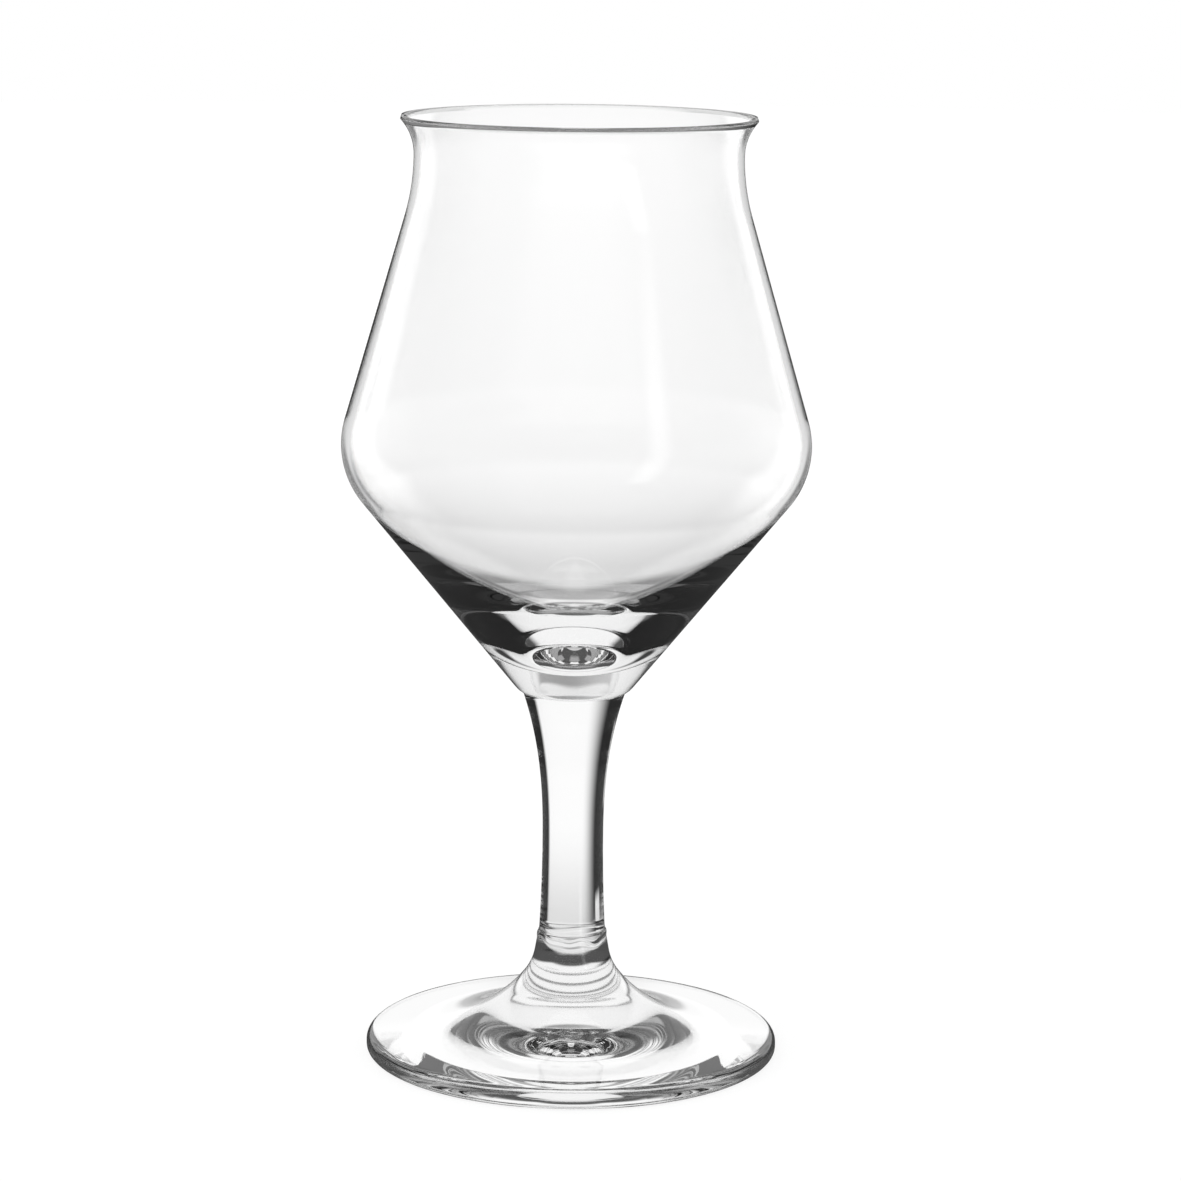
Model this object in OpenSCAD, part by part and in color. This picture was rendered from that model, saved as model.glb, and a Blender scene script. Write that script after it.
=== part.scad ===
// Chalice beer glass: a thin blown bowl on a drawn stem and a pressed foot, melted together on flat discs.
// Each piece is one profile turned about the vertical axis. The origin is the middle of the standing plane.

/* [Bowl] */
// Widest diameter of the bowl, at the belly
belly_d = 93.6; // [88:0.1:104]
// Rounding of the belly
belly_round = 17.6; // [14:0.1:20]
// Height of the belly above the bowl's base
belly_rise = 50.2; // [46:0.1:60]
// Narrowest diameter of the neck below the lip
neck_d = 65; // [60:0.1:72]
// Rounding from the neck down into the straight side
neck_round = 43; // [30:0.5:48]
// Height of the neck above the belly
neck_rise = 57.5; // [50:0.1:66]
// Rounding by which the lip turns outwards
flare_round = 10; // [8:0.1:14]
// Angle by which the lip leans outwards
flare_angle = 42; // [25:1:50]
// Thickness of the glass at the lip and neck, and diameter of its rounded edge
lip_wall = 1.2; // [0.9:0.05:1.6]
// Thickness of the glass at the belly
belly_wall = 1.8; // [1.4:0.05:2.2]
// Diameter of the bowl's base where it is melted onto the stem
base_d = 21; // [19:0.1:24]
// Rounding between the bowl's base and its cone
base_round = 5; // [3:0.1:6]
// Angle above level at which the base leaves the joint
base_angle = 28; // [20:1:35]
// Thickness of solid glass under the middle of the bowl
base_solid = 9; // [8:0.1:12]
// Rounding of the bowl's inner bottom
bottom_round = 17; // [14:0.5:20]
// Long rounding of the inner face from the belly down to the bottom, which thickens the wall on the way
wall_round = 110; // [100:1:140]

/* [Stem] */
// Length of the stem between its two joints
stem_l = 49.6; // [40:0.1:70]
// Diameter of the stem at its waist
waist_d = 12.3; // [10:0.1:13]
// Height of the waist above the lower joint
waist_rise = 19.5; // [15:0.1:30]
// Diameter of the stem where it meets the foot
stem_foot_d = 13.4; // [13:0.1:16]
// How far the stem's head stays inside the edge of the bowl's base
head_ledge = 0.15; // [0.05:0.05:0.5]

/* [Foot] */
// Diameter of the foot
foot_d = 83.6; // [76:0.1:92]
// Height of the joint with the stem above the standing plane
foot_h = 25; // [22:0.1:30]
// Height of the foot's edge
edge_h = 3.7; // [3.2:0.1:4.5]
// Rounding of the edge on top
edge_top_round = 1.9; // [1.5:0.1:2]
// Rounding of the edge below
edge_low_round = 1.3; // [0.8:0.1:1.5]
// Slope of the foot's upper face
cone_angle = 6; // [5:0.5:9]
// How far the stub's collar stands out from the stem at the joint
seam_step = 0.1; // [0.05:0.05:0.4]
// Height of the collar between the joint and the bend into the flank
collar_h = 6.9; // [5:0.1:8]
// Angle by which the collar widens downwards
collar_angle = 10; // [8:0.5:16]
// Rounding of the bend between collar and flank
collar_round = 11; // [4:0.5:12]
// Angle by which the flank below the collar widens downwards
flank_angle = 38; // [34:0.5:46]
// Rounding from the flank into the upper face
flank_round = 28.5; // [18:0.5:30]

/* [Rings on the stub] */
// Number of pressed ridges round the flank
ring_count = 4; // [0:1:5]
// Height of the uppermost groove above the bend between collar and flank
ring_start = 1.5; // [0:0.1:2.5]
// Height from one ridge to the next
ring_pitch = 1.8; // [1.4:0.1:2]
// How far a ridge stands out from the groove beside it
ring_relief = 0.2; // [0.05:0.05:0.4]

/* [Underside] */
// Width of the flat ring on which the glass stands
stand_w = 8; // [4:0.1:12]
// Height of the shallow hollow at the edge of the punt
hollow_h = 2.4; // [1.2:0.1:3.4]
// Diameter of the punt, the round recess in the middle
punt_d = 20.6; // [16:0.1:24]
// Depth of the punt above the hollow
punt_h = 1; // [0.6:0.1:3]

/* [Hidden] */
$fn = 128;
glass_tint = [0.86, 0.92, 0.93, 0.45];

// Points along one arc, one cone or one swept curve
arc_steps = 12;
curve_steps = 20;
// Powers by which the stem swells from its waist to its head and to its foot
head_power = 2.4;
heel_power = 2;

// Heights of the joints and of the bowl's widest and narrowest places
stem_z = foot_h;
bowl_z = stem_z + stem_l;
belly_z = bowl_z + belly_rise;
neck_z = belly_z + neck_rise;
floor_z = bowl_z + base_solid;

// Radii
belly_r = belly_d / 2;
neck_r = neck_d / 2;
base_r = base_d / 2;
waist_r = waist_d / 2;
head_r = base_r - head_ledge;
heel_r = stem_foot_d / 2;
stub_r = heel_r + seam_step;
foot_r = foot_d / 2;
punt_r = punt_d / 2;
stand_r = foot_r - edge_low_round - stand_w;

// Direction, as an angle, from one point to another
function bearing(a, b) = atan2(b[1] - a[1], b[0] - a[0]);
// Point at a distance from a point, in a direction
function step(p, l, a) = [p[0] + l * cos(a), p[1] + l * sin(a)];
// Points of an arc about a centre, from one angle to another
function arc(c, r, from, to) =
    [for (i = [0:arc_steps]) step(c, r, from + (to - from) * i / arc_steps)];
// Direction of the line that touches two circles and has both on its left
function same_side(c1, r1, c2, r2) = bearing(c1, c2) - asin((r2 - r1) / norm(c2 - c1));
// Direction of the line that touches two circles, with the first on its left and the second on its right
function crossing(c1, r1, c2, r2) = bearing(c1, c2) + asin((r1 + r2) / norm(c2 - c1));
// Centre of a circle of radius r that holds two circles and touches both, left of the way between them
function around(c1, r1, c2, r2, r) =
    let (
        way = c2 - c1,
        ahead = way / norm(way),
        along = (pow(r - r1, 2) - pow(r - r2, 2) + way * way) / (2 * norm(way)),
        aside = sqrt(pow(r - r1, 2) - along * along)
    )
    c1 + along * ahead + aside * [-ahead[1], ahead[0]];
// Points of the arc that rounds the corner at b between a and c
function corner(a, b, c, r) =
    let (
        back = bearing(b, a),
        ahead = bearing(b, c),
        turn = ((ahead - back) % 360 + 540) % 360 - 180,
        half = abs(turn) / 2,
        middle = step(b, r / sin(half), back + turn / 2),
        sweep = (180 - abs(turn)) * sign(turn)
    )
    arc(middle, r, back + turn / 2 + 180 + sweep / 2, back + turn / 2 + 180 - sweep / 2);

// Centres of the roundings in the bowl's wall
base_c = step([base_r, bowl_z], base_round, base_angle + 90);
belly_c = [belly_r - belly_round, belly_z];
neck_c = [neck_r + neck_round, neck_z];
flare_c = [neck_r + flare_round, neck_z];
bottom_c = [0, floor_z + bottom_round];
lip_c = step(flare_c, flare_round + lip_wall / 2, 180 - flare_angle);

// Directions of the straight stretches of the wall, outside and inside
cone_dir = same_side(base_c, base_round, belly_c, belly_round);
side_dir = crossing(belly_c, belly_round, neck_c, neck_round);
inner_round = belly_round - belly_wall;
inner_side_dir = crossing(belly_c, inner_round, neck_c, neck_round + lip_wall);

// Long rounding inside, and the directions from its centre to where it meets the belly and the bottom
wall_c = around(bottom_c, bottom_round, belly_c, inner_round, wall_round);
wall_top_dir = bearing(wall_c, belly_c);
wall_low_dir = bearing(wall_c, bottom_c);

// Outer face of the bowl from the joint up to the lip
function bowl_outside() = concat(
    arc(base_c, base_round, base_angle - 90, cone_dir - 90),
    arc(belly_c, belly_round, cone_dir - 90, side_dir - 90),
    arc(neck_c, neck_round, side_dir + 90, 180),
    arc(flare_c, flare_round, 180, 180 - flare_angle)
);

// Inner face of the bowl from the lip down to the middle of its floor
function bowl_inside() = concat(
    arc(flare_c, flare_round + lip_wall, 180 - flare_angle, 180),
    arc(neck_c, neck_round + lip_wall, 180, inner_side_dir + 90),
    arc(belly_c, inner_round, inner_side_dir - 90, wall_top_dir),
    arc(wall_c, wall_round, wall_top_dir, wall_low_dir),
    arc(bottom_c, bottom_round, wall_low_dir, -90)
);

// Outline without the points that repeat the one before
function distinct(p) = [for (i = [0:len(p) - 1]) if (i == 0 || p[i] != p[i - 1]) p[i]];

module bowl() {
    color(glass_tint)
        rotate_extrude()
            polygon(distinct(concat(
                [[0, bowl_z]],
                bowl_outside(),
                arc(lip_c, lip_wall / 2, -flare_angle, 180 - flare_angle),
                bowl_inside()
            )));
}

// Stem from its foot to its waist, then from its waist to its head
function stem_side() = concat(
    [for (i = [0:curve_steps - 1])
        let (t = 1 - i / curve_steps)
        [
            waist_r + (heel_r - waist_r) * pow(t, heel_power),
            stem_z + waist_rise * (1 - t)
        ]],
    [for (i = [0:curve_steps])
        let (t = i / curve_steps)
        [
            waist_r + (head_r - waist_r) * pow(t, head_power),
            stem_z + waist_rise + (stem_l - waist_rise) * t
        ]]
);

module stem() {
    color(glass_tint)
        rotate_extrude()
            polygon(concat([[0, stem_z]], stem_side(), [[0, bowl_z]]));
}

// Corners of the foot's outline, from the joint down to the edge
collar_low = [stub_r + collar_h * tan(collar_angle), stem_z - collar_h];
cone_rise = tan(cone_angle);
flank_drop = collar_low[1] - edge_h - (foot_r - collar_low[0]) * cone_rise;
flank_run = flank_drop / (1 - cone_rise * tan(flank_angle));
flank_low = collar_low + flank_run * [tan(flank_angle), -1];
edge_top = [foot_r, edge_h];

// Length that each unit of rounding takes from the flank, above and below, and the lower rounding that fits
bend_share = tan((flank_angle - collar_angle) / 2);
sweep_share = tan((90 - flank_angle - cone_angle) / 2);
flank_room = flank_run / cos(flank_angle) - collar_round * bend_share;
flank_fit = min(flank_round, flank_room / sweep_share);

// Sphere whose cap is the punt
punt_round = (punt_r * punt_r + punt_h * punt_h) / (2 * punt_h);
punt_c = [0, hollow_h + punt_h - punt_round];
punt_half_angle = asin(punt_r / punt_round);

// Centres of the bend between collar and flank and of the rounding below, and the height where that begins
bend_turn = flank_angle - collar_angle;
bend_c = step(collar_low, collar_round / cos(bend_turn / 2), collar_angle + bend_turn / 2);
sweep_turn = 90 - cone_angle - flank_angle;
sweep_c = step(flank_low, flank_fit / cos(sweep_turn / 2), flank_angle + sweep_turn / 2);
sweep_top = sweep_c[1] - flank_fit * sin(flank_angle);
// Angle by which the stub's face widens downwards at a height, and the point of the face there
function lean(z) =
    z < sweep_top
        ? asin((sweep_c[1] - z) / flank_fit)
        : asin(max(sin(collar_angle), min(sin(flank_angle), (bend_c[1] - z) / collar_round)));
function face(z) =
    let (
        a = lean(z),
        p = z < sweep_top ? step(sweep_c, flank_fit, a + 180) : step(bend_c, collar_round, a + 180)
    )
    [p[0] + (p[1] - z) * tan(a), z];

function foot_outline() = concat(
    [[stub_r, stem_z]],
    corner([stub_r, stem_z], collar_low, flank_low, collar_round),
    corner(collar_low, flank_low, edge_top, flank_fit),
    corner(flank_low, edge_top, [foot_r, 0], edge_top_round),
    corner(edge_top, [foot_r, 0], [0, 0], edge_low_round),
    [[stand_r, 0]],
    arc(punt_c, punt_round, 90 - punt_half_angle, 90)
);

// One ridge round the stub: a circle whose top stands out of the face by the relief
module ring(z) {
    chord = ring_pitch / cos(lean(z)) / 2;
    section = (chord * chord + ring_relief * ring_relief) / (2 * ring_relief);
    rotate_extrude()
        translate(step(face(z), section - ring_relief, 180 + lean(z)))
            circle(r = section);
}

module foot() {
    color(glass_tint) {
        rotate_extrude()
            polygon(concat([[0, stem_z]], foot_outline()));
        for (i = [0:1:ring_count - 1])
            ring(collar_low[1] + ring_start - ring_pitch * (i + 1 / 2));
    }
}

bowl();
stem();
foot();
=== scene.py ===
from math import atan, radians

import bpy
import numpy as np
from mathutils import Matrix, Vector


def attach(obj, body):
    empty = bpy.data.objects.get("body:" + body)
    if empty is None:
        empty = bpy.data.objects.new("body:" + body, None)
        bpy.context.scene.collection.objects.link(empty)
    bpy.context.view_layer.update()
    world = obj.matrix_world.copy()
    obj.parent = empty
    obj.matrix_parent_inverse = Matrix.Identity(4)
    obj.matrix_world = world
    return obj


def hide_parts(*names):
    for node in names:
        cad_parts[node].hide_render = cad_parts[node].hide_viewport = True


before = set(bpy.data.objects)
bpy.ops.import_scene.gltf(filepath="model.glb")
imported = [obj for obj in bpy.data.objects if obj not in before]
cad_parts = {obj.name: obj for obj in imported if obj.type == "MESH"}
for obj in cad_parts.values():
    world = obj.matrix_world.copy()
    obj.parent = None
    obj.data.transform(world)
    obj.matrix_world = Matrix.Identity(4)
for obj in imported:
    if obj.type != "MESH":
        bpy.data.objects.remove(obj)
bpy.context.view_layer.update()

scene = bpy.context.scene

closeBy = {"points": 1e-7, "levels": 1e-6}  # metres: closer points are one, and closer faces lie on a level

# Curves of the outlines: points are (radius, height) in metres, angles in degrees


# The point that lies a length away from another in a direction: start + length * (cosine, sine)
def step(point, length, angle):
    turn = np.radians(angle)
    return np.array([point[0] + length * np.cos(turn), point[1] + length * np.sin(turn)])


# The direction from one point to another: arc tangent of the rise over the run
def bearing(start, end):
    return np.degrees(np.arctan2(end[1] - start[1], end[0] - start[0]))


# The line that touches two circles on the same side turns from their bearing by -asin((r2 - r1) / distance)
def sameSide(centreA, radiusA, centreB, radiusB):
    apart = np.hypot(centreB[0] - centreA[0], centreB[1] - centreA[1])
    return bearing(centreA, centreB) - np.degrees(np.arcsin((radiusB - radiusA) / apart))


# The line that crosses over between two circles turns from their bearing by asin((r1 + r2) / distance)
def crossing(centreA, radiusA, centreB, radiusB):
    apart = np.hypot(centreB[0] - centreA[0], centreB[1] - centreA[1])
    return bearing(centreA, centreB) + np.degrees(np.arcsin((radiusA + radiusB) / apart))


# The centre of the circle that holds and touches two circles lies (radius - r1) and (radius - r2) from theirs
def enclosing(centreA, radiusA, centreB, radiusB, radius):
    start, way = np.array(centreA), np.array(centreB) - centreA
    apart = np.hypot(*way)
    along = ((radius - radiusA) ** 2 - (radius - radiusB) ** 2 + apart ** 2) / (2 * apart)
    aside = np.sqrt((radius - radiusA) ** 2 - along ** 2)
    return start + (way * along + np.array([-way[1], way[0]]) * aside) / apart


# Evenly spaced points on a circle from one angle to another: centre + radius * (cosine, sine)
def arc(centre, radius, start, end, steps=48):
    turn = np.radians(np.linspace(start, end, steps + 1))
    return np.stack([centre[0] + radius * np.cos(turn), centre[1] + radius * np.sin(turn)], -1)


# The arc that rounds the corner at b, between the straight lines to a and to c. Its middle lies
# radius / sin(half the corner's angle) from b.
def corner(a, b, c, radius, steps=32):
    back, ahead = bearing(b, a), bearing(b, c)
    turn = (ahead - back + 180) % 360 - 180
    middle = step(b, radius / np.sin(np.radians(abs(turn) / 2)), back + turn / 2)
    sweep = (180 - abs(turn)) * np.sign(turn)
    top = back + turn / 2 + 180
    return arc(middle, radius, top + sweep / 2, top - sweep / 2, steps)


# The same outline with its points an equal share of its length apart
def evenly(points, spacing):
    gap = np.hypot(*np.diff(points, axis=0).T)
    points = points[np.r_[True, gap > closeBy["points"]]]
    travel = np.r_[0, np.cumsum(np.hypot(*np.diff(points, axis=0).T))]
    at = np.linspace(0, travel[-1], int(np.ceil(travel[-1] / spacing)) + 1)
    return np.stack([np.interp(at, travel, points[:, 0]), np.interp(at, travel, points[:, 1])], -1)


# Surface of revolution: x = r cos(angle), y = r sin(angle), z = height, for each outline point and angle.
# The first and last outline points lie on the axis, and a fan of triangles closes each.
# relief(angle, height) is added to the radius.
def revolve(name, outline, count, relief=None):
    angle = np.linspace(0, 2 * np.pi, count, endpoint=False)
    side = outline[1:-1]
    radius = np.repeat(side[:, :1], count, 1)
    height = np.repeat(side[:, 1:], count, 1)
    if relief is not None:
        radius = radius + relief(angle[None], height)
    points = np.stack([radius * np.cos(angle), radius * np.sin(angle), height], -1).reshape(-1, 3)
    poles = [[0, 0, outline[0, 1]], [0, 0, outline[-1, 1]]]
    row = np.arange(len(side) - 1)[:, None] * count
    column = np.arange(count)[None]
    after = (column + 1) % count
    above = row + count
    quads = np.stack([row + column, row + after, above + after, above + column], -1).reshape(-1, 4)
    lowPole, lastRow = len(side) * count, (len(side) - 1) * count
    spoke, nextSpoke = column[0], after[0]
    lowFan = np.stack([np.full(count, lowPole), nextSpoke, spoke], -1)
    highFan = np.stack([np.full(count, lowPole + 1), lastRow + spoke, lastRow + nextSpoke], -1)
    faces = quads.tolist() + lowFan.tolist() + highFan.tolist()
    mesh = bpy.data.meshes.new(name)
    mesh.from_pydata(np.concatenate([points, poles]).tolist(), [], faces)
    mesh.update()
    piece = bpy.data.objects.new(name, mesh)
    scene.collection.objects.link(piece)
    return piece


# The height of each face's middle
def faceLevels(piece):
    middle = np.empty(len(piece.data.polygons) * 3)
    piece.data.polygons.foreach_get("center", middle)
    return middle.reshape(-1, 3)[:, 2]


# Smooth faces of glass, and flat melted joints where a face lies at one of these heights
def meltFaces(piece, glass, joint, *heights):
    level = faceLevels(piece)
    flat = np.any([np.abs(level - height) < closeBy["levels"] for height in heights], axis=0)
    piece.data.materials.append(glass)
    piece.data.materials.append(joint)
    piece.data.polygons.foreach_set("material_index", flat.astype(int))
    piece.data.polygons.foreach_set("use_smooth", ~flat)


# The faces between two heights get a glass of their own
def bandFaces(piece, glass, low, high):
    level = faceLevels(piece)
    slots = np.empty(len(level), np.int32)
    piece.data.polygons.foreach_get("material_index", slots)
    slots[(level > low) & (level < high)] = len(piece.data.materials)
    piece.data.materials.append(glass)
    piece.data.polygons.foreach_set("material_index", slots)


# A wavy melt line runs round the lower joint. Its height is joint - drop + three sine waves of the angle. The
# glass swells outwards along it by depth * exp(-(distance / width)^2), which fades out within the reach.
seamLook = {
    "joint": 0.025, "drop": 0.0009,
    "waves": [(2, 0.0005, 0.6), (5, 0.00035, 2.1), (9, 0.0002, 0.3)],  # count, height and phase
    "depth": 0.0002, "width": 0.0006, "reach": 0.004,
}


def seamRelief(angle, height):
    wave = sum(size * np.sin(count * angle + phase) for count, size, phase in seamLook["waves"])
    away = height - seamLook["joint"]
    swell = np.exp(-((away - (wave - seamLook["drop"])) / seamLook["width"]) ** 2)
    fadeOut = np.clip(1 - (away / seamLook["reach"]) ** 2, 0, 1) ** 2
    return seamLook["depth"] * swell * fadeOut


# Glass

glassLook = {"ior": 1.52, "rippleDetail": 1.0, "streakScale": 160.0}


# Object coordinates -> stretched noise -> bump: the gentle waves that fire leaves in a glass face
def rippleGroup():
    group = bpy.data.node_groups.new("fireRipple", "ShaderNodeTree")
    for name in ("Scale", "Stretch", "Depth"):
        group.interface.new_socket(name, in_out="INPUT", socket_type="NodeSocketFloat")
    group.interface.new_socket("Normal", in_out="OUTPUT", socket_type="NodeSocketVector")
    nodes, links = group.nodes, group.links
    given, result = nodes.new("NodeGroupInput"), nodes.new("NodeGroupOutput")
    place = nodes.new("ShaderNodeTexCoord")
    stretch = nodes.new("ShaderNodeCombineXYZ")
    stretch.inputs["X"].default_value = 1.0
    stretch.inputs["Y"].default_value = 1.0
    links.new(given.outputs["Stretch"], stretch.inputs["Z"])
    scaled = nodes.new("ShaderNodeVectorMath")
    scaled.operation = "MULTIPLY"
    links.new(place.outputs["Object"], scaled.inputs[0])
    links.new(stretch.outputs["Vector"], scaled.inputs[1])
    noise = nodes.new("ShaderNodeTexNoise")
    noise.inputs["Detail"].default_value = glassLook["rippleDetail"]
    links.new(scaled.outputs["Vector"], noise.inputs["Vector"])
    links.new(given.outputs["Scale"], noise.inputs["Scale"])
    bump = nodes.new("ShaderNodeBump")
    links.new(noise.outputs["Fac"], bump.inputs["Height"])
    links.new(given.outputs["Depth"], bump.inputs["Distance"])
    links.new(bump.outputs["Normal"], result.inputs["Normal"])
    return group


# Colour by height: one shade below the low height and another above the high one, with faint streaks of
# noise between them. It gives the glass its tint, and on the stem the darker lower end, which is painted
# shade
def tintAndShadeGroup():
    group = bpy.data.node_groups.new("tintAndPaintedShade", "ShaderNodeTree")
    for name in ("Low", "High", "Streaks"):
        group.interface.new_socket(name, in_out="INPUT", socket_type="NodeSocketFloat")
    for name in ("Low Color", "High Color"):
        group.interface.new_socket(name, in_out="INPUT", socket_type="NodeSocketColor")
    group.interface.new_socket("Color", in_out="OUTPUT", socket_type="NodeSocketColor")
    nodes, links = group.nodes, group.links
    given, result = nodes.new("NodeGroupInput"), nodes.new("NodeGroupOutput")
    place = nodes.new("ShaderNodeTexCoord")
    axes = nodes.new("ShaderNodeSeparateXYZ")
    links.new(place.outputs["Object"], axes.inputs["Vector"])
    noise = nodes.new("ShaderNodeTexNoise")
    noise.inputs["Scale"].default_value = glassLook["streakScale"]
    links.new(place.outputs["Object"], noise.inputs["Vector"])
    shift = nodes.new("ShaderNodeMath")
    shift.operation = "MULTIPLY_ADD"
    links.new(noise.outputs["Fac"], shift.inputs[0])
    links.new(given.outputs["Streaks"], shift.inputs[1])
    links.new(axes.outputs["Z"], shift.inputs[2])
    share = nodes.new("ShaderNodeMapRange")
    share.interpolation_type = "SMOOTHSTEP"
    links.new(shift.outputs["Value"], share.inputs["Value"])
    links.new(given.outputs["Low"], share.inputs["From Min"])
    links.new(given.outputs["High"], share.inputs["From Max"])
    blend = nodes.new("ShaderNodeMix")
    blend.data_type = "RGBA"  # its colour sockets are inputs 6 and 7 and output 2
    links.new(share.outputs["Result"], blend.inputs["Factor"])
    links.new(given.outputs["Low Color"], blend.inputs[6])
    links.new(given.outputs["High Color"], blend.inputs[7])
    links.new(blend.outputs[2], result.inputs["Color"])
    return group


ripple, tint = rippleGroup(), tintAndShadeGroup()


# Clear glass with a piece's ripple and colour by height: its tint, and on the stem painted shade
def glassMaterial(name, look, roughness=0.0, alpha=1.0):
    material = bpy.data.materials.new(name)
    material.use_nodes = True
    tree = material.node_tree
    shader = tree.nodes["Principled BSDF"]
    shader.inputs["Roughness"].default_value = roughness
    shader.inputs["IOR"].default_value = glassLook["ior"]
    shader.inputs["Transmission Weight"].default_value = 1.0
    shader.inputs["Alpha"].default_value = alpha
    waves = tree.nodes.new("ShaderNodeGroup")
    waves.node_tree = ripple
    for socket in ("Scale", "Stretch", "Depth"):
        waves.inputs[socket].default_value = look["ripple" + socket]
    tree.links.new(waves.outputs["Normal"], shader.inputs["Normal"])
    shade = tree.nodes.new("ShaderNodeGroup")
    shade.node_tree = tint
    for socket in ("Low", "High", "Streaks"):
        shade.inputs[socket].default_value = look["tint" + socket]
    shade.inputs["Low Color"].default_value = (*look["lowColour"], 1)
    shade.inputs["High Color"].default_value = (*look["highColour"], 1)
    tree.links.new(shade.outputs["Color"], shader.inputs["Base Color"])
    return material


# Faces where two pieces are melted together: light goes straight through
def jointMaterial(name):
    material = bpy.data.materials.new(name)
    material.use_nodes = True
    material.node_tree.nodes["Principled BSDF"].inputs["Alpha"].default_value = 0.0
    return material


jointGlass = jointMaterial("meltedJoint")

# Bowl

bowlSize = {
    "bellyR": 0.0468, "bellyRound": 0.0176, "bellyRise": 0.0502, "bellyWall": 0.0018,
    "neckR": 0.0325, "neckRound": 0.043, "neckRise": 0.0575,
    "flareRound": 0.010, "flareAngle": 42.0, "lipWall": 0.0012,
    "baseR": 0.0105, "baseRound": 0.005, "baseAngle": 28.0,
    "baseSolid": 0.009, "bottomRound": 0.017, "wallRound": 0.110,
    "floor": 0.0746, "spacing": 0.0009, "around": 288,
}
bowlGlass = {
    "rippleScale": 34.0, "rippleStretch": 0.6, "rippleDepth": 0.00004,
    "tintLow": 0.075, "tintHigh": 0.092, "tintStreaks": 0.004,
    "lowColour": (0.97, 0.97, 0.97), "highColour": (1.0, 1.0, 1.0),
    "lipBand": 0.0006, "lipAlpha": 0.75,
}


# The wall's outlines, up the outside and down the inside, are arcs joined by straight lines that touch them
def bowlOutline(size):
    bellyZ = size["floor"] + size["bellyRise"]
    neckZ = bellyZ + size["neckRise"]
    flareEnd = 180 - size["flareAngle"]
    baseC = step([size["baseR"], size["floor"]], size["baseRound"], size["baseAngle"] + 90)
    bellyC = [size["bellyR"] - size["bellyRound"], bellyZ]
    neckC = [size["neckR"] + size["neckRound"], neckZ]
    flareC = [size["neckR"] + size["flareRound"], neckZ]
    bottomC = [0, size["floor"] + size["baseSolid"] + size["bottomRound"]]
    lipC = step(flareC, size["flareRound"] + size["lipWall"] / 2, flareEnd)
    cone = sameSide(baseC, size["baseRound"], bellyC, size["bellyRound"])
    side = crossing(bellyC, size["bellyRound"], neckC, size["neckRound"])
    innerRound = size["bellyRound"] - size["bellyWall"]
    innerNeck = size["neckRound"] + size["lipWall"]
    innerSide = crossing(bellyC, innerRound, neckC, innerNeck)
    wallC = enclosing(bottomC, size["bottomRound"], bellyC, innerRound, size["wallRound"])
    outline = evenly(np.concatenate([
        [[0, size["floor"]]],
        arc(baseC, size["baseRound"], size["baseAngle"] - 90, cone - 90),
        arc(bellyC, size["bellyRound"], cone - 90, side - 90),
        arc(neckC, size["neckRound"], side + 90, 180),
        arc(flareC, size["flareRound"], 180, flareEnd),
        arc(lipC, size["lipWall"] / 2, -size["flareAngle"], flareEnd),
        arc(flareC, size["flareRound"] + size["lipWall"], flareEnd, 180),
        arc(neckC, innerNeck, 180, innerSide + 90),
        arc(bellyC, innerRound, innerSide - 90, bearing(wallC, bellyC)),
        arc(wallC, size["wallRound"], bearing(wallC, bellyC), bearing(wallC, bottomC)),
        arc(bottomC, size["bottomRound"], bearing(wallC, bottomC), -90),
    ]), size["spacing"])
    outline[-1, 0] = 0
    return outline


bowl = revolve("chaliceBowl", bowlOutline(bowlSize), bowlSize["around"])
meltFaces(bowl, glassMaterial("blownGlass", bowlGlass), jointGlass, bowlSize["floor"])
lipTop = faceLevels(bowl).max()
# The band of faces at the top of the lip is partly see-through, which lightens the lip's dark line: painted
# light, not a finish of the glass
lipGlass = glassMaterial("lightenedLip", bowlGlass, alpha=bowlGlass["lipAlpha"])
bandFaces(bowl, lipGlass, lipTop - bowlGlass["lipBand"], lipTop + bowlGlass["lipBand"])
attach(bowl, "root")
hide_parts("bowl")
print("bowl", len(bowl.data.polygons))

# Stem

stemSize = {
    "low": 0.025, "high": 0.0746, "waistRise": 0.0195,
    "waistR": 0.00615, "heelR": 0.0067, "headR": 0.01035, "heelPower": 2.0, "headPower": 2.4,
    "heelSteps": 40, "headSteps": 60, "spacing": 0.0005, "around": 240,
}
stemGlass = {
    "rippleScale": 150.0, "rippleStretch": 0.15, "rippleDepth": 0.000012,
    "tintLow": 0.026, "tintHigh": 0.050, "tintStreaks": 0.006,
    # The stem's lower end is coloured darker, 0.80 against white above: painted shade for the light that
    # falls off low down
    "lowColour": (0.80, 0.80, 0.80), "highColour": (1.0, 1.0, 1.0),
}


# Above the waist radius = waist + (head - waist) t^2.4, and below it radius = waist + (heel - waist) t^2,
# where t grows from 0 at the waist to 1 at the end
def stemOutline(size):
    below = np.linspace(1, 0, size["heelSteps"] + 1)[:-1]
    above = np.linspace(0, 1, size["headSteps"] + 1)
    heel = size["waistR"] + (size["heelR"] - size["waistR"]) * below ** size["heelPower"]
    head = size["waistR"] + (size["headR"] - size["waistR"]) * above ** size["headPower"]
    heelZ = size["low"] + size["waistRise"] * (1 - below)
    headZ = size["low"] + size["waistRise"] + (size["high"] - size["low"] - size["waistRise"]) * above
    side = evenly(np.stack([np.r_[heel, head], np.r_[heelZ, headZ]], -1), size["spacing"])
    return np.concatenate([[[0, size["low"]]], side, [[0, size["high"]]]])


stem = revolve("drawnStem", stemOutline(stemSize), stemSize["around"], seamRelief)
meltFaces(stem, glassMaterial("drawnGlass", stemGlass), jointGlass, stemSize["low"], stemSize["high"])
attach(stem, "root")
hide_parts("stem")
print("stem", len(stem.data.polygons))

# Foot

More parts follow.
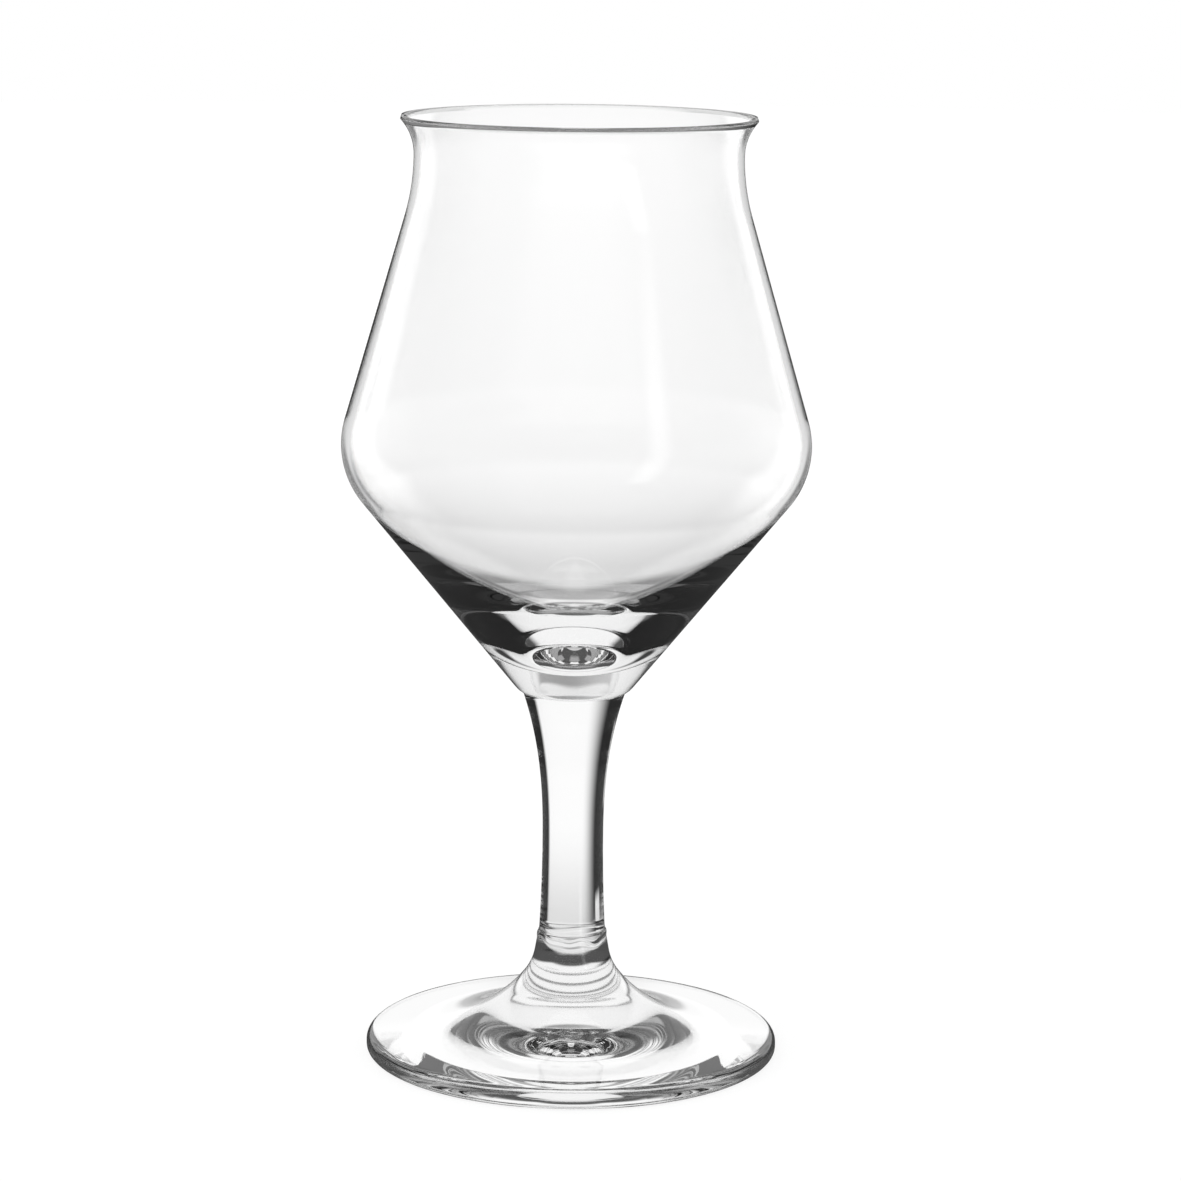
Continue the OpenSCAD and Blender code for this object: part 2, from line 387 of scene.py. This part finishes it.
footSize = {
    "footR": 0.0418, "high": 0.025, "stubR": 0.0068,
    "edgeH": 0.0037, "edgeTopRound": 0.0019, "edgeLowRound": 0.0013, "coneAngle": 6.0,
    "collarH": 0.0069, "collarAngle": 10.0, "collarRound": 0.011,
    "flankAngle": 38.0, "flankRound": 0.0285, "flankSteps": 64,
    "standW": 0.008, "hollowH": 0.0024, "puntR": 0.0103, "puntH": 0.001,
    "spacing": 0.00036, "around": 288,
}
footGlass = {
    "rippleScale": 90.0, "rippleStretch": 1.0, "rippleDepth": 0.00003,
    "tintLow": 0.004, "tintHigh": 0.022, "tintStreaks": 0.003,
    "lowColour": (1.0, 1.0, 1.0), "highColour": (0.94, 0.94, 0.94),
    "flankLow": 0.0100, "flankHigh": 0.0190, "flankRoughness": 0.1,
}


# The upper face is three straight lines with rounded corners. The lower face is a flat ring, a slope and a
# shallow dome, whose ball has the radius (r^2 + h^2) / 2h.
def footOutline(size):
    angles = [size["collarAngle"], size["flankAngle"], size["coneAngle"]]
    collarLean, flankLean, coneRise = np.tan(np.radians(angles))
    stub = np.array([size["stubR"], size["high"]])
    collar = stub + size["collarH"] * np.array([collarLean, -1])
    drop = collar[1] - size["edgeH"] - (size["footR"] - collar[0]) * coneRise
    flank = collar + drop / (1 - coneRise * flankLean) * np.array([flankLean, -1])
    edge, ground = np.array([size["footR"], size["edgeH"]]), np.array([size["footR"], 0])
    upper = evenly(np.concatenate([
        [stub],
        corner(stub, collar, flank, size["collarRound"]),
        corner(collar, flank, edge, size["flankRound"], size["flankSteps"]),
    ]), size["spacing"] / 2)
    puntBall = (size["puntR"] ** 2 + size["puntH"] ** 2) / (2 * size["puntH"])
    puntC = [0, size["hollowH"] + size["puntH"] - puntBall]
    puntHalf = np.degrees(np.arcsin(size["puntR"] / puntBall))
    under = evenly(np.concatenate([
        upper[-1:],
        corner(flank, edge, ground, size["edgeTopRound"]),
        corner(edge, ground, [0, 0], size["edgeLowRound"]),
        [[size["footR"] - size["edgeLowRound"] - size["standW"], 0]],
        arc(puntC, puntBall, 90 - puntHalf, 90),
    ]), size["spacing"])
    under[-1, 0] = 0
    return np.concatenate([[[0, size["high"]]], upper, under[1:]])[::-1]


foot = revolve("pressedFoot", footOutline(footSize), footSize["around"], seamRelief)
meltFaces(foot, glassMaterial("pressedGlass", footGlass), jointGlass, footSize["high"])
flankGlass = glassMaterial("flankGlass", footGlass, roughness=footGlass["flankRoughness"])
bandFaces(foot, flankGlass, footGlass["flankLow"], footGlass["flankHigh"])
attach(foot, "root")
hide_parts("foot")
print("foot", len(foot.data.polygons))

# Floor: a wide disc just under the height that the glass stands on. The camera sees it, white with the
# shadow on it, and all other rays pass through it to the studio.

floorLook = {"radius": 3.0, "corners": 96, "drop": 0.00001, "glow": 0.85, "paint": 0.18}
turn = np.linspace(0, 2 * np.pi, floorLook["corners"], endpoint=False)
rim = floorLook["radius"] * np.stack([np.cos(turn), np.sin(turn), 0 * turn], -1)
rim[:, 2] = -floorLook["drop"]
floorMesh = bpy.data.meshes.new("floor")
floorMesh.from_pydata(rim.tolist(), [], [list(range(len(rim)))])
floor = bpy.data.objects.new("floor", floorMesh)
scene.collection.objects.link(floor)
floorMaterial = bpy.data.materials.new("whiteFloor")
floorMaterial.use_nodes = True
tree = floorMaterial.node_tree
tree.nodes.clear()
output = tree.nodes.new("ShaderNodeOutputMaterial")
glow = tree.nodes.new("ShaderNodeEmission")
glow.inputs["Strength"].default_value = floorLook["glow"]
paint = tree.nodes.new("ShaderNodeBsdfDiffuse")
paint.inputs["Color"].default_value = (floorLook["paint"],) * 3 + (1,)
lit = tree.nodes.new("ShaderNodeAddShader")
tree.links.new(glow.outputs["Emission"], lit.inputs[0])
tree.links.new(paint.outputs["BSDF"], lit.inputs[1])
clear = tree.nodes.new("ShaderNodeBsdfTransparent")
seen = tree.nodes.new("ShaderNodeLightPath")
choice = tree.nodes.new("ShaderNodeMixShader")
tree.links.new(seen.outputs["Is Camera Ray"], choice.inputs["Fac"])
tree.links.new(clear.outputs["BSDF"], choice.inputs[1])
tree.links.new(lit.outputs["Shader"], choice.inputs[2])
tree.links.new(choice.outputs["Shader"], output.inputs["Surface"])
floorMesh.materials.append(floorMaterial)
print("floor")

# World: how bright the studio is in each direction, by what the light passed on its way to the eye.
# Azimuths are degrees from straight behind the glass, to the right, and elevations are degrees above level.

world = bpy.data.worlds.new("studio")
scene.world = world
world.use_nodes = True
studio = world.node_tree
studio.nodes.clear()


# A number is set on the socket, and a node's output is linked to it
def join(source, socket):
    if isinstance(source, (int, float)):
        socket.default_value = source
    else:
        studio.links.new(source, socket)


def calc(operation, *values):
    node = studio.nodes.new("ShaderNodeMath")
    node.operation = operation
    for value, socket in zip(values, node.inputs):
        join(value, socket)
    return node.outputs["Value"]


# A smooth step from before to after, while the value goes from start to end
def fade(value, start, end, before=0.0, after=1.0):
    node = studio.nodes.new("ShaderNodeMapRange")
    node.interpolation_type = "SMOOTHSTEP"
    for item, socket in zip((value, start, end, before, after), node.inputs):
        join(item, socket)
    return node.outputs["Result"]


# (1 - share) * zero + share * one
def blend(share, zero, one):
    node = studio.nodes.new("ShaderNodeMix")  # its number sockets are inputs 2 and 3
    join(share, node.inputs["Factor"])
    join(zero, node.inputs[2])
    join(one, node.inputs[3])
    return node.outputs[0]


# 1 between low and high and 0 outside, with each edge softened to both sides
def window(value, low, high, softLow, softHigh):
    rise = fade(value, low - softLow, low + softLow)
    return calc("MULTIPLY", rise, fade(value, high - softHigh, high + softHigh, 1.0, 0.0))


direction = studio.nodes.new("ShaderNodeTexCoord").outputs["Generated"]
axes = studio.nodes.new("ShaderNodeSeparateXYZ")
studio.links.new(direction, axes.inputs["Vector"])
path = studio.nodes.new("ShaderNodeLightPath")
azimuth = calc("DEGREES", calc("ARCTAN2", axes.outputs["X"], axes.outputs["Y"]))
elevation = calc("DEGREES", calc("ARCSINE", axes.outputs["Z"]))
sideways = calc("ABSOLUTE", azimuth)


# The ray's angle from a direction: arc cosine of their dot product
def awayFrom(turn, rise):
    turn, rise = radians(turn), radians(rise)
    node = studio.nodes.new("ShaderNodeVectorMath")
    node.operation = "DOT_PRODUCT"
    studio.links.new(direction, node.inputs[0])
    node.inputs[1].default_value = (np.sin(turn) * np.cos(rise), np.cos(turn) * np.cos(rise), np.sin(rise))
    return calc("DEGREES", calc("ARCCOSINE", calc("MINIMUM", node.outputs["Value"], 1.0)))


# 1 where the light crossed a surface, or was reflected, more often than this
def crossed(count):
    return calc("GREATER_THAN", path.outputs["Transmission Depth"], count + 0.5)


def reflected(count):
    return calc("GREATER_THAN", path.outputs["Glossy Depth"], count + 0.5)


# Solid glass shows a dark room with white panels and a greyer front
solidLook = {
    "dark": 0.02, "fallStart": -13.0, "fallEnd": -20.0, "front": 0.6, "frontStart": 0.2, "frontEnd": 0.7,
    "panels": [  # middle azimuth, half widths, elevations, softness of the sides, brightness above and below
        {"middle": 0.0, "left": 25.0, "right": 41.0, "low": -68.0, "high": 37.0,
         "softLeft": 14.0, "softRight": 4.0, "softLevel": 7.0, "light": 1.05, "lowLight": 0.95},
        {"middle": -45.0, "left": 40.0, "right": 40.0, "low": -40.0, "high": -21.0,
         "softLeft": 6.0, "softRight": 6.0, "softLevel": 3.0, "light": 1.0, "lowLight": 1.0},
        {"middle": -45.0, "left": 7.0, "right": 7.0, "low": -24.0, "high": -18.2,
         "softLeft": 2.0, "softRight": 2.0, "softLevel": 0.6, "light": 1.0, "lowLight": 1.0},
        {"middle": 135.0, "left": 40.0, "right": 40.0, "low": -45.0, "high": 20.0,
         "softLeft": 6.0, "softRight": 10.0, "softLevel": 5.0, "light": 1.0, "lowLight": 1.0},
        {"middle": -90.0, "left": 24.0, "right": 22.0, "low": -9.5, "high": 14.0,
         "softLeft": 6.0, "softRight": 6.0, "softLevel": 2.0, "light": 1.0, "lowLight": 1.0},
    ],
}


def solidLight(look):
    light = look["dark"]
    for panel in look["panels"]:
        left, right = panel["middle"] - panel["left"], panel["middle"] + panel["right"]
        wide = window(azimuth, left, right, panel["softLeft"], panel["softRight"])
        tall = window(elevation, panel["low"], panel["high"], panel["softLevel"], panel["softLevel"])
        level = fade(elevation, look["fallEnd"], look["fallStart"], panel["lowLight"], panel["light"])
        light = calc("MAXIMUM", light, calc("MULTIPLY", wide, calc("MULTIPLY", tall, level)))
    ahead = calc("MULTIPLY", axes.outputs["Y"], -1.0)
    return calc("MAXIMUM", light, fade(ahead, look["frontStart"], look["frontEnd"], 0.0, look["front"]))


# The thin walls show a white room that is a little darker low down, lifted beside the middle where the walls
# are seen at a slant, grey where it is steep, and white again straight below
wallLook = {
    "light": 1.15, "steepLight": 0.36, "fall": 0.3, "fallStart": -2.0, "fallEnd": -26.0,
    "low": -32.0, "high": 45.0, "softLow": 2.5, "softHigh": 12.0,
    "lift": 0.85, "liftStart": 3.0, "liftFull": 16.0, "liftFade": 30.0, "liftEnd": 45.0,
    "below": 0.97, "belowStart": -42.0, "belowFull": -49.0,
}


def wallLight(look):
    fall = fade(elevation, look["fallStart"], look["fallEnd"], 0.0, look["fall"])
    light = calc("SUBTRACT", look["light"] - look["steepLight"], fall)
    level = window(elevation, look["low"], look["high"], look["softLow"], look["softHigh"])
    light = calc("ADD", calc("MULTIPLY", light, level), look["steepLight"])
    lift = fade(sideways, look["liftStart"], look["liftFull"], 0.0, look["lift"])
    lift = calc("MULTIPLY", lift, fade(sideways, look["liftFade"], look["liftEnd"], 1.0, 0.0))
    light = calc("MULTIPLY", light, calc("ADD", lift, 1.0))
    return calc("MAXIMUM", light, fade(elevation, look["belowStart"], look["belowFull"], 0.0, look["below"]))


# Light reflected inside the glass comes from a white wall behind, from above with a darker bowed patch in
# it, from the floor and from the front. Dark spots draw the outlines of the pieces.
innerLook = {
    "half": 46.0, "soft": 8.0, "low": -62.0, "high": 52.0, "softLow": 6.0, "softHigh": 8.0,
    "steepStart": 40.0, "steepFull": 50.0, "steepLight": 0.95,
    "patchFrom": 0.325, "patchBow": 1.05, "patchSoft": 0.012,
    "patchStart": -0.35, "patchEnd": 0.1, "patchStartLight": 0.58, "patchEndLight": 0.35,
    "front": 0.4, "frontStart": 125.0, "frontFull": 155.0,
    "frontLow": -60.0, "frontHigh": 15.0, "frontSoft": 8.0,
    "floorStart": -8.0, "floorFull": -22.0, "floorLight": 0.09, "floorDeepLight": 0.4,
    "dark": 0.08, "deepDark": 0.015, "deepAfter": 3,  # deep: reflected more often than this
    "spotAfter": 1, "spotLight": 0.05,
    "spots": [  # azimuth, elevation, and how far from it the spot starts and ends to fade
        (-17.0, -15.0, 4.0, 11.0), (17.0, -15.0, 4.0, 11.0),
        (-45.0, -25.0, 10.0, 24.0), (135.0, -15.0, 10.0, 24.0), (-90.0, -3.0, 10.0, 24.0),
    ],
    "pipedAfter": 12, "pipedLight": 0.03,
}


def innerLight(look):
    deep = reflected(look["deepAfter"])
    behind = fade(sideways, look["half"] - look["soft"], look["half"] + look["soft"], 1.0, 0.0)
    wall = window(elevation, look["low"], look["high"], look["softLow"], look["softHigh"])
    edge = calc("MULTIPLY", axes.outputs["X"], axes.outputs["X"])
    edge = calc("MULTIPLY_ADD", edge, look["patchBow"], look["patchFrom"])
    patch = fade(calc("SUBTRACT", axes.outputs["Y"], edge), -look["patchSoft"], look["patchSoft"])
    patchLight = fade(axes.outputs["X"], look["patchStart"], look["patchEnd"],
                      look["patchStartLight"], look["patchEndLight"])
    steep = fade(elevation, look["steepStart"], look["steepFull"])
    steep = calc("MULTIPLY", steep, blend(patch, look["steepLight"], patchLight))
    front = fade(sideways, look["frontStart"], look["frontFull"], 0.0, look["front"])
    level = window(elevation, look["frontLow"], look["frontHigh"], look["frontSoft"], look["frontSoft"])
    ground = fade(elevation, look["floorStart"], look["floorFull"])
    light = calc("MULTIPLY", behind, wall)
    for part in (
        calc("MULTIPLY", behind, steep),
        calc("MULTIPLY", ground, blend(deep, look["floorLight"], look["floorDeepLight"])),
        calc("MULTIPLY", front, level),
        blend(deep, look["dark"], look["deepDark"]),
    ):
        light = calc("MAXIMUM", light, part)
    often = reflected(look["spotAfter"])
    for turn, rise, inside, outside in look["spots"]:
        spot = fade(awayFrom(turn, rise), inside, outside, look["spotLight"], 1.0)
        light = calc("MULTIPLY", light, blend(often, spot, 1.0))
    return light


# Gloss on the outside comes from a leaning light strip in front, from the wall behind, and faintly from
# everywhere else
outerLook = {
    "dark": 0.05, "light": 1.5, "middle": 145.5, "lean": -0.39, "half": 5.0, "soft": 4.0,
    "low": -12.0, "high": 24.0, "softLevel": 2.0,
    "back": 1.0, "backFull": 40.0, "backEnd": 50.0,
    "backLow": 4.0, "backHigh": 50.0, "backSoftLow": 3.0, "backSoftHigh": 10.0,
}


def outerLight(look):
    middle = calc("ADD", calc("MULTIPLY", elevation, look["lean"]), look["middle"])
    strip = window(calc("SUBTRACT", azimuth, middle), -look["half"], look["half"], look["soft"], look["soft"])
    level = window(elevation, look["low"], look["high"], look["softLevel"], look["softLevel"])
    strip = calc("MULTIPLY", calc("MULTIPLY", strip, level), look["light"])
    back = fade(sideways, look["backFull"], look["backEnd"], look["back"], 0.0)
    level = window(elevation, look["backLow"], look["backHigh"], look["backSoftLow"], look["backSoftHigh"])
    return calc("MAXIMUM", calc("ADD", strip, look["dark"]), calc("MULTIPLY", back, level))


light = blend(crossed(2), solidLight(solidLook), wallLight(wallLook))
light = blend(reflected(0), light, innerLight(innerLook))
light = blend(reflected(innerLook["pipedAfter"]), light, innerLook["pipedLight"])
light = blend(crossed(0), outerLight(outerLook), light)
light = blend(path.outputs["Is Diffuse Ray"], light, 1.0)
light = calc("MAXIMUM", light, path.outputs["Is Camera Ray"])
sky = studio.nodes.new("ShaderNodeBackground")
sky.inputs["Color"].default_value = (1, 1, 1, 1)
studio.links.new(light, sky.inputs["Strength"])
studio.links.new(sky.outputs["Background"], studio.nodes.new("ShaderNodeOutputWorld").inputs["Surface"])
print("world")

# Lamp: one large soft lamp above, which only adds to the shadow on the floor

lampLook = {"size": 0.8, "watts": 1.5, "place": (-0.5, -0.3, 1.3)}
lamp = bpy.data.objects.new("softLamp", bpy.data.lights.new("softLamp", "AREA"))
scene.collection.objects.link(lamp)
lamp.data.shape = "DISK"
lamp.data.size = lampLook["size"]
lamp.data.energy = lampLook["watts"]
lamp.location = lampLook["place"]
lamp.rotation_euler = Vector(lampLook["place"]).to_track_quat("Z", "Y").to_euler()
lamp.visible_glossy = False
lamp.visible_transmission = False
print("lamp")

# Camera

cameraLook = {
    "back": 0.7710, "height": 0.2414, "near": 0.01, "pitch": 10.74, "roll": 0.587,  # metres and degrees
    "focal": 3914, "aside": 15.6, "frame": 1181, "sensor": 36,  # pixels, and the sensor in millimetres
}
camera = bpy.data.objects.new("camera", bpy.data.cameras.new("camera"))
scene.collection.objects.link(camera)
scene.camera = camera
camera.data.sensor_width = cameraLook["sensor"]
camera.data.lens = cameraLook["sensor"] * cameraLook["focal"] / cameraLook["frame"]
camera.data.clip_start = cameraLook["near"]
camera.matrix_world = (
    Matrix.Translation((0, -cameraLook["back"], cameraLook["height"]))
    @ Matrix.Rotation(-atan(cameraLook["aside"] / cameraLook["focal"]), 4, "Z")
    @ Matrix.Rotation(radians(90 - cameraLook["pitch"]), 4, "X")
    @ Matrix.Rotation(radians(cameraLook["roll"]), 4, "Z")
)
scene.view_settings.view_transform = "Standard"
scene.cycles.max_bounces = 64  # light crosses and bounces inside thick glass many times
scene.cycles.glossy_bounces = 48
scene.cycles.transmission_bounces = 24
scene.cycles.transparent_max_bounces = 24
print("camera")
